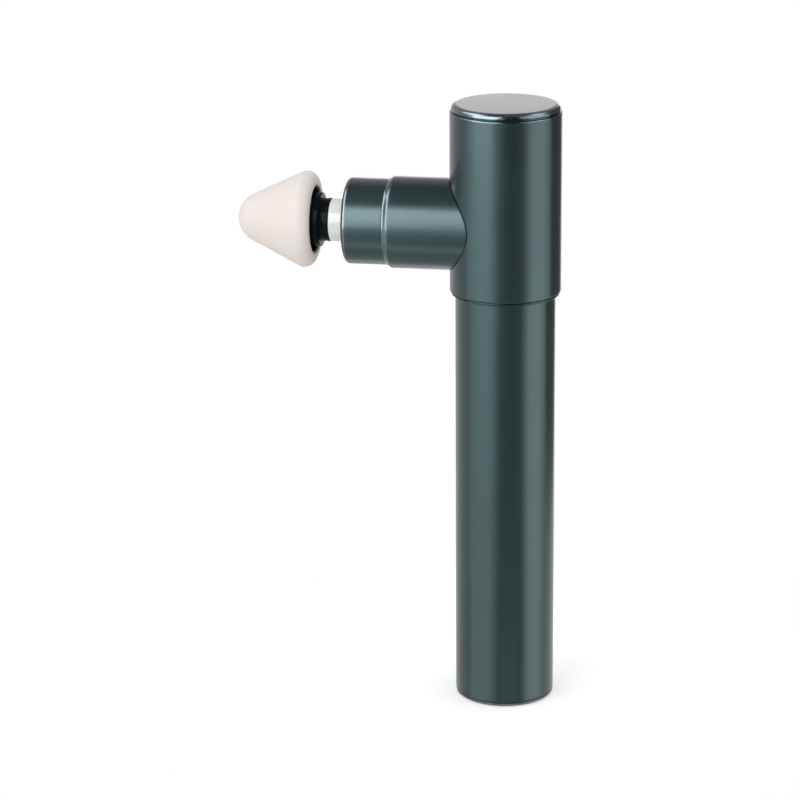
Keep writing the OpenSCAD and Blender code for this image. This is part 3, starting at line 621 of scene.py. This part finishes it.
black_rubber = finish("black_rubber", (0.014, 0.014, 0.015), 0.6, 0.75, grain=1500, grain_depth=0.01,
                      drift=0.15, speck=0.2, wear=0.3, worn=(0.04, 0.04, 0.04), sheen=0.05)
red_rubber = finish("red_rubber", (0.24, 0.02, 0.02), 0.5, 0.65, grain=1500, grain_depth=0.008, speck=0.15)
board_green = finish("board_mask", (0.01, 0.1, 0.04), 0.25, 0.35, grain=900, grain_depth=0.004, drift=0.15,
                     speck=0.3, coat=0.5)
chip_black = finish("chip_resin", (0.028, 0.028, 0.03), 0.5, 0.65, grain=4000, grain_depth=0.006, speck=0.25)
cell_wrap = finish("cell_film", (0.03, 0.16, 0.3), 0.25, 0.4, grain=700, grain_depth=0.01, drift=0.08,
                   coat=0.6, coat_roughness=0.15)
nickel = finish("nickel_strip", (0.62, 0.6, 0.55), 0.25, 0.4, metallic=1, grain=1200, grain_depth=0.003,
                lines=9000, line_depth=0.001)
lead_wire = finish("lead_silicone", (0.45, 0.07, 0.03), 0.45, 0.6, grain=1800, grain_depth=0.006)
bright_steel = finish("ground_steel", (0.6, 0.6, 0.62), 0.18, 0.3, metallic=1, grain=3000,
                      grain_depth=0.001, lines=16000, line_depth=0.0008)
motor_metal = finish("turned_aluminium", (0.6, 0.6, 0.62), 0.25, 0.38, metallic=1, grain=3000,
                     grain_depth=0.001, lines=12000, line_depth=0.0015)
motor_steel = finish("turned_steel", (0.33, 0.33, 0.35), 0.25, 0.4, metallic=1, grain=2500,
                     grain_depth=0.0015, lines=12000, line_depth=0.0015)
core_steel = finish("laminated_steel", (0.2, 0.2, 0.22), 0.35, 0.5, metallic=1, grain=1500,
                    grain_depth=0.002, lines=12566, line_depth=0.02)
copper = finish("enamelled_copper", (0.5, 0.17, 0.06), 0.22, 0.35, metallic=1, grain=1500,
                grain_depth=0.002, lines=15700, line_depth=0.05, coat=0.6)
white_acetal = finish("machined_acetal", (0.75, 0.75, 0.72), 0.35, 0.5, grain=2000, grain_depth=0.003,
                      lines=9000, line_depth=0.002, line_turn=ALONG_X)
bush_brass = finish("turned_brass", (0.58, 0.4, 0.12), 0.22, 0.35, metallic=1, grain=2500,
                    grain_depth=0.001, lines=12000, line_depth=0.0015, line_turn=ALONG_X)

# the nodes that keep their own meshes
NODE_FINISHES = {
    base_metal: ["bottom_cap"],
    black_plastic: ["battery_cradle", "chassis", "guide_housing", "tact_switch"],
    switch_plastic: ["switch_plunger"],
    lamp_clear: ["status_leds"],
    black_rubber: ["cap_seal", "grip_ring"],
    red_rubber: ["stem_rings"],
    board_green: ["usb_board", "control_board"],
    chip_black: ["charge_parts", "control_chips", "crank_roller"],
    cell_wrap: ["lower_cell", "upper_cell"],
    nickel: ["lower_contact", "link_plate", "upper_contact"],
    lead_wire: ["motor_leads", "battery_leads"],
    bright_steel: ["usb_port", "motor_screws", "lower_bearing", "upper_bearing", "motor_shaft",
                   "crank_pin", "set_screw", "yoke_screw"],
    motor_metal: ["motor_base"],
    motor_steel: ["rotor_bell", "rotor_magnets", "crank_disc"],
    core_steel: ["stator_core"],
    copper: ["stator_windings"],
    white_acetal: ["yoke"],
    bush_brass: ["rear_bush", "front_bush"],
}


def dress_nodes():
    for material, names in NODE_FINISHES.items():
        for name in names:
            node = nodes[name]
            for place in node.material_slots:
                place.material = material
            if not node.material_slots:
                node.data.materials.append(material)


# ---- turned pieces ----

TURN_STEPS = 128
ROUND_STEPS = 6
ARC_STEPS = 24
HOLD = 0.35 * MM
SHORTEST = 0.02 * MM
WELD = 1e-7
SLIVER = 1e-8
CREASE = radians(38)


def support(here, far, rounding, far_rounding):
    """The point that keeps a side straight just past a rounded corner, or None on a short side."""
    reach = (far - here).length
    want = rounding + HOLD
    if want < reach - far_rounding - SHORTEST:
        return here + (far - here) * (want / reach)
    return None


def outline(bm, corners, closed=True):
    """A wire of (radius, height, rounding) corners, with a support point each side of a round one."""
    points = [Vector((radius, 0, height)) for radius, height, _ in corners]
    roundings = [rounding for _, _, rounding in corners]
    made = []
    for place, (here, rounding) in enumerate(zip(points, roundings)):
        following = (place + 1) % len(points)
        run = [(here, rounding)]
        if rounding and (closed or 0 < place < len(points) - 1):
            before = support(here, points[place - 1], rounding, roundings[place - 1])
            after = support(here, points[following], rounding, roundings[following])
            run = [(before, 0), (here, rounding), (after, 0)]
        made += [(bm.verts.new(point), ease) for point, ease in run if point is not None]
    verts = [vert for vert, _ in made]
    for first, second in zip(verts, verts[1:]):
        bm.edges.new((first, second))
    if closed:
        bm.edges.new((verts[-1], verts[0]))
    for vert, rounding in made:
        if rounding:
            bmesh.ops.bevel(bm, geom=[vert], affect="VERTICES", offset=rounding,
                            segments=ROUND_STEPS, profile=0.5, material=-1)


def turn_round(bm):
    """Spins the wire round Z into a closed skin."""
    bmesh.ops.spin(bm, geom=bm.verts[:] + bm.edges[:], cent=(0, 0, 0), axis=(0, 0, 1), dvec=(0, 0, 0),
                   angle=2 * pi, steps=TURN_STEPS, use_merge=True, use_duplicate=False)
    bmesh.ops.remove_doubles(bm, verts=bm.verts, dist=WELD)
    bmesh.ops.dissolve_degenerate(bm, dist=SLIVER, edges=bm.edges)
    bmesh.ops.recalc_face_normals(bm, faces=bm.faces)


def crease(bm):
    """Smooth faces, with the edges kept crisp where they turn sharply."""
    for face in bm.faces:
        face.smooth = True
    for edge in bm.edges:
        if len(edge.link_faces) == 2 and edge.calc_face_angle(0) > CREASE:
            edge.smooth = False


def piece(name, bm, material, body, node):
    """A finished piece that rides on a body and stands for a node."""
    crease(bm)
    made = new_object(name, bm, material)
    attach(made, body)
    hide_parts(node)


def turned_piece(name, corners, place, material, body, node, closed=True):
    bm = bmesh.new()
    outline(bm, corners, closed)
    turn_round(bm)
    bm.transform(place)
    piece(name, bm, material, body, node)


# ---- handle ----

def make_handle():
    lower_round = 0.35 * MM
    turned_piece("handle_shell", [
        (tube_bore, tube_z0, SMALL),
        (tube_r, tube_z0, lower_round),
        (tube_r, trim_z0, KEEN),
        (seat_r, trim_z0, 0),
        (seat_r, tube_z1, SMALL),
        (tube_bore, tube_z1, SMALL),
    ], UPRIGHT, green_metal, "housing", "handle_tube")


def make_trim_band():
    """The ring under the sleeve, with a groove between the two."""
    groove = 0.3 * MM
    ledge_r = trim_r - 2 * groove
    turned_piece("trim_band", [
        (seat_bore, trim_z0, FINE),
        (trim_r, trim_z0, ROUND),
        (trim_r, trim_z1 - groove, FINE),
        (ledge_r, trim_z1 - groove, HAIR),
        (ledge_r, trim_z1, HAIR),
        (seat_bore, trim_z1, FINE),
    ], UPRIGHT, trim_metal, "housing", "trim_ring")


# ---- head ----

def make_sleeve():
    """The head's outer sleeve, with a round hole in its wall where the guide goes through."""
    hole_r = 10.35 * MM
    hole_margin = 0.2 * MM
    row_step = 1 * MM
    row_reach = 12
    rows = [NOZZLE_Z + i * row_step for i in range(-row_reach, row_reach + 1)]
    seat_top = tube_z1 - FIT
    corners = [
        (seat_bore, sleeve_z0, FINE),
        (sleeve_r, sleeve_z0, ROUND),
        *[(sleeve_r, z, 0) for z in rows],
        (sleeve_r, sleeve_z1, ROUND),
        (sleeve_bore, sleeve_z1, FINE),
        *[(sleeve_bore, z, 0) for z in reversed(rows) if z > seat_top + row_step],
        (sleeve_bore, seat_top, 0),
        (seat_bore, seat_top, 0),
    ]
    bm = bmesh.new()
    outline(bm, corners)
    turn_round(bm)

    def off_axis(point):
        return sqrt(point.y ** 2 + (point.z - NOZZLE_Z) ** 2)

    gone = [f for f in bm.faces if f.calc_center_median().x < 0
            and off_axis(f.calc_center_median()) < hole_r + hole_margin]
    bmesh.ops.delete(bm, geom=gone, context="FACES")
    rim = [e for e in bm.edges if e.is_boundary]
    for vert in {v for e in rim for v in e.verts}:
        wall = sqrt(vert.co.x ** 2 + vert.co.y ** 2)
        scale = hole_r / off_axis(vert.co)
        vert.co.y *= scale
        vert.co.z = NOZZLE_Z + (vert.co.z - NOZZLE_Z) * scale
        vert.co.x = -sqrt(wall ** 2 - vert.co.y ** 2)
    bmesh.ops.bridge_loops(bm, edges=rim)
    bmesh.ops.recalc_face_normals(bm, faces=bm.faces)
    piece("head_shell", bm, sleeve_metal, "housing", "head_sleeve")


def make_top_cap():
    """The lid: a flat top with a rounded bevel, a groove under it and a hollow plug."""
    flange_r = sleeve_r - 0.45 * MM
    bevel = 1.6 * MM
    flange_z = sleeve_z1 + 0.2 * MM
    ceiling_z = sleeve_z1 + 0.4 * MM
    plug_r = sleeve_bore - FIT
    plug_bore = plug_r - 1.5 * MM
    turned_piece("top_disc", [
        (0, cap_z1, 0),
        (flange_r, cap_z1, bevel),
        (flange_r, flange_z, SMALL),
        (plug_r, flange_z, 0),
        (plug_r, cap_z0, SOFT),
        (plug_bore, cap_z0, FINE),
        (plug_bore, ceiling_z, ROUND),
        (0, ceiling_z, 0),
    ], UPRIGHT, cap_metal, "housing", "top_cap", closed=False)


# ---- nozzle ----

def make_barrel():
    """The barrel, turned with a square back end, which is then shaped to the sleeve."""
    saddle_r = sleeve_r + 0.1 * MM
    bore = barrel_r - BARREL_WALL
    step_r = barrel_r - 0.92 * MM
    shoulder_round = 0.5 * MM
    foot_r = step_r + 0.1 * MM
    foot_d = barrel_d1 - 0.35 * MM
    foot_round = 0.25 * MM
    mouth_round = 0.06 * MM
    start = 30 * MM
    back_end = 1.5 * MM
    bm = bmesh.new()
    outline(bm, [
        (bore, start, FINE),
        (barrel_r, start, SOFT),
        (barrel_r, barrel_d1 - BARREL_CHAMFER, shoulder_round),
        (foot_r, foot_d, foot_round),
        (step_r, barrel_d1, 0),
        (bore, barrel_d1, mouth_round),
    ])
    turn_round(bm)
    for vert in bm.verts:
        if vert.co.z < start + back_end:
            vert.co.z += sqrt(saddle_r ** 2 - vert.co.y ** 2) - start
    bm.transform(ALONG_NOZZLE)
    piece("nozzle_tube", bm, barrel_metal, "housing", "nozzle_barrel")


def make_nozzle_ring():
    ring_r = barrel_r - 0.96 * MM
    nose_round = 1.5 * MM
    step_round = 0.12 * MM
    tail_r = barrel_r - BARREL_WALL - FIT
    bore = tail_r - 2 * MM
    seal_seat = seal_r + FIT
    turned_piece("nozzle_nose", [
        (bore, ring_d0, FINE),
        (tail_r, ring_d0, ROUND),
        (tail_r, barrel_d1, 0),
        (ring_r, barrel_d1, step_round),
        (ring_r, ring_d1, nose_round),
        (seal_seat, ring_d1, SOFT),
        (seal_seat, guide_d1, 0),
        (bore, guide_d1, 0),
    ], ALONG_NOZZLE, nose_metal, "housing", "nozzle_ring")


def make_seal():
    """The wiper seal, dished between its rim and its lip."""
    lip_r = shaft_r + 0.08 * MM
    dish_r0 = shaft_r + 0.6 * MM
    dish_r1 = seal_r - 0.8 * MM
    dish_d = seal_d1 - 0.4 * MM
    turned_piece("shaft_seal", [
        (lip_r, seal_d0, FINE),
        (seal_r, seal_d0, FINE),
        (seal_r, seal_d1, SMALL),
        (dish_r1, seal_d1, FINE),
        (dish_r1, dish_d, SMALL),
        (dish_r0, dish_d, SMALL),
        (dish_r0, seal_d1, FINE),
        (lip_r, seal_d1, SMALL),
    ], ALONG_NOZZLE, black_rubber, "housing", "front_seal")


def make_shaft():
    """The pale shaft: an open socket with a groove for the grip ring, a web and a hollow tail."""
    tail_round = 0.4 * MM
    mouth_round = 0.35 * MM
    socket_r = shaft_r - 2 * MM
    socket_d0 = shaft_d1 - 20 * MM
    web_d0 = socket_d0 - 4 * MM
    tail_bore = shaft_r - 2.45 * MM
    screw_r = 1.6 * MM
    groove_r = socket_r + 1.05 * MM
    groove_d0 = shaft_d1 - 6.8 * MM
    groove_d1 = groove_d0 + 2 * MM
    turned_piece("push_shaft", [
        (tail_bore, shaft_d0, FINE),
        (shaft_r, shaft_d0, tail_round),
        (shaft_r, shaft_d1, mouth_round),
        (socket_r, shaft_d1, ROUND),
        (socket_r, groove_d1, FINE),
        (groove_r, groove_d1, SOFT),
        (groove_r, groove_d0, SOFT),
        (socket_r, groove_d0, FINE),
        (socket_r, socket_d0, SOFT),
        (screw_r, socket_d0, FINE),
        (screw_r, web_d0, FINE),
        (tail_bore, web_d0, SOFT),
    ], ALONG_NOZZLE, pale_shaft, "shaft", "drive_shaft")


# ---- massage head ----

def make_core():
    """The hub, collar and stem, with a thin lining up the wall of the cone's recess."""
    stem_r = shaft_r - 2.08 * MM
    stem_round = 0.6 * MM
    groove_r = stem_r - 1 * MM
    groove_width = 1.5 * MM
    neck_r = shaft_r + 0.25 * MM
    neck_d = shaft_d1 + 0.1 * MM
    neck_round = 0.25 * MM
    waist_r = neck_r - 0.2 * MM
    collar_r = shaft_r + 2 * MM
    collar_d = cone_d0 - 2.2 * MM
    collar_round = 0.5 * MM
    lining = 0.5 * MM
    lining_r = HUB_R - lining
    lining_d = cone_d0 + lining
    corners = [
        (0, core_d0, 0),
        (stem_r, core_d0, stem_round),
    ]
    for groove_d in (core_d0 + 2.2 * MM, core_d0 + 5.4 * MM):
        corners += [
            (stem_r, groove_d, KEEN),
            (groove_r, groove_d, FINE),
            (groove_r, groove_d + groove_width, FINE),
            (stem_r, groove_d + groove_width, KEEN),
        ]
    corners += [
        (stem_r, neck_d, 0),
        (neck_r, neck_d, neck_round),
        (waist_r, (neck_d + collar_d) / 2, 0),
        (neck_r, collar_d, SMALL),
        (collar_r, collar_d, collar_round),
        (collar_r, HUB_D0, ROUND),
        (lining_r, HUB_D0, SOFT),
        (lining_r, lining_d, SMALL),
        (HUB_R, lining_d, FINE),
        (HUB_R, HUB_D0 + HUB_WIDTH, ROUND),
        (HUB_R - HUB_TAPER, core_d1, ROUND),
        (0, core_d1, 0),
    ]
    turned_piece("head_stem", corners, ALONG_NOZZLE, collar_plastic, "massage_head",
                 "head_core", closed=False)


def make_cone():
    """The silicone cone: moulded over the hub, a round rim, a straight flank and a round tip."""
    hollow_r = HUB_R + FIT
    hollow_d1 = core_d1 + FIT
    recess_r = hollow_r + FIT
    mouth_round = 0.35 * MM
    rim_round = 3.36 * MM
    rim_r = cone_r - rim_round
    rim_d = cone_d0 + rim_round
    tip_round = 8.53 * MM
    tip_d = cone_d1 - tip_round
    run = Vector((-rim_r, tip_d - rim_d))
    slope = atan2(run.y, run.x) - acos((rim_round - tip_round) / run.length)
    flank_shares = (0.03, 0.25, 0.5, 0.75, 0.97, 1.0)
    bm = bmesh.new()
    outline(bm, [
        (0, hollow_d1, 0),
        (hollow_r - HUB_TAPER, hollow_d1, 0),
        (hollow_r, HUB_D0 + HUB_WIDTH + FIT, 0),
        (hollow_r, HUB_D0, 0),
        (recess_r, HUB_D0, 0),
        (recess_r, cone_d0, mouth_round),
        (rim_r, cone_d0, 0),
    ], closed=False)
    bm.verts.ensure_lookup_table()
    last = max(bm.verts, key=lambda v: (round(v.co.x, 6), -v.co.z))
    step = bmesh.ops.spin(bm, geom=[last], cent=(rim_r, 0, rim_d), axis=(0, -1, 0), dvec=(0, 0, 0),
                          angle=slope + pi / 2, steps=ARC_STEPS, use_merge=False, use_duplicate=False)
    end = [v for v in step["geom_last"] if isinstance(v, bmesh.types.BMVert)][0]
    out = Vector((cos(slope), 0, sin(slope)))
    along = Vector((0, 0, tip_d)) + out * tip_round - end.co
    marks = [end]
    for share in flank_shares:
        vert = bm.verts.new(end.co + along * share)
        bm.edges.new((marks[-1], vert))
        marks.append(vert)
    bmesh.ops.spin(bm, geom=[marks[-1]], cent=(0, 0, tip_d), axis=(0, -1, 0), dvec=(0, 0, 0),
                   angle=pi / 2 - slope, steps=ARC_STEPS, use_merge=False, use_duplicate=False)
    turn_round(bm)
    bm.transform(ALONG_NOZZLE)
    piece("cone_head", bm, cream, "massage_head", "massage_cone")


# ---- base ----

def make_button():
    """The power button, with a dished face below, a flange that holds it in and a stem above."""
    face_z, stem_top = heights_of("power_button")
    flange_r = radius_of("power_button")
    flange_z0 = face_z + 1.85 * MM
    flange_z1 = flange_z0 + 0.8 * MM
    stem_r = 1.4 * MM
    dish_depth = 0.25 * MM
    dish = [(0, dish_depth, 0), (0.55, 0.56 * dish_depth, 0), (0.85, 0, SOFT)]
    turned_piece("button_cap", [
        *[(BUTTON_R * share, face_z + depth, rounding) for share, depth, rounding in dish],
        (BUTTON_R, face_z, ROUND),
        (BUTTON_R, flange_z0, FINE),
        (flange_r, flange_z0, FINE),
        (flange_r, flange_z1, FINE),
        (stem_r, flange_z1, FINE),
        (stem_r, stem_top, FINE),
        (0, stem_top, 0),
    ], BUTTON_AXIS, button_plastic, "button", "power_button", closed=False)


def make_light_collar():
    """The frosted ring round the button, with a flange above it."""
    low_z, high_z = heights_of("light_ring")
    inner_r = BUTTON_R + 0.25 * MM
    outer_r = inner_r + 1.05 * MM
    flange_r = radius_of("light_ring")
    flange_z = low_z + 1.07 * MM
    turned_piece("light_collar", [
        (inner_r, low_z, SMALL),
        (outer_r, low_z, SMALL),
        (outer_r, flange_z, HAIR),
        (flange_r, flange_z, FINE),
        (flange_r, high_z, FINE),
        (inner_r, high_z, FINE),
    ], BUTTON_AXIS, light_pipe, "housing", "light_ring")


make_camera()
make_studio()
dress_nodes()
make_handle()
make_trim_band()
make_sleeve()
make_top_cap()
make_barrel()
make_nozzle_ring()
make_seal()
make_shaft()
make_core()
make_cone()
make_button()
make_light_collar()
